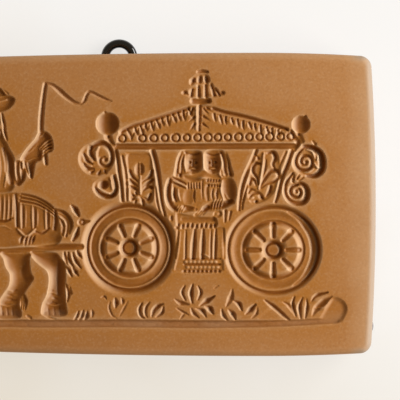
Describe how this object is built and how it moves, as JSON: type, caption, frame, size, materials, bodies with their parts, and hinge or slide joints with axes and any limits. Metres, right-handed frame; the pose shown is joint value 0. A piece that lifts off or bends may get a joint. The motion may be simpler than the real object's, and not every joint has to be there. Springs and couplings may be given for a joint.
{
  "type": "butter mold",
  "caption": "Flat carved mold board with a sunk wedding coach picture, a swinging hanging ring on a folded strap, and rubber bumpers behind its lower corners.",
  "frame": {"origin": "middle of the footprint, on the table the mold lies on, print face up", "axes": "+X along the board from the horse to the coach, +Y up the picture towards the hanging ring, +Z out of the carved print face"},
  "size_m": [0.1958, 0.121, 0.0218],
  "materials": {
    "board": "warm brown wood-and-resin board, satin, darker stain in the carving",
    "ring": "gloss black enamelled steel wire",
    "strap": "black coated folded steel strip",
    "screws": "black pan-head wood screws",
    "bumper": "soft grey rubber"
  },
  "bodies": {
    "mold": {"mold_board": "board", "hanger_strap": "strap", "hanger_screws": "screws", "left_wall_bumper": "bumper", "right_wall_bumper": "bumper"},
    "ring": {"hanging_ring": "ring"}
  },
  "joints": [
    {"name": "ring_swing", "type": "hinge", "parent": "mold", "child": "ring", "pos_m": [0, 0.0485, 0.00292], "axis": [-1, 0, 0], "range_deg": [-10, 168]}
  ]
}
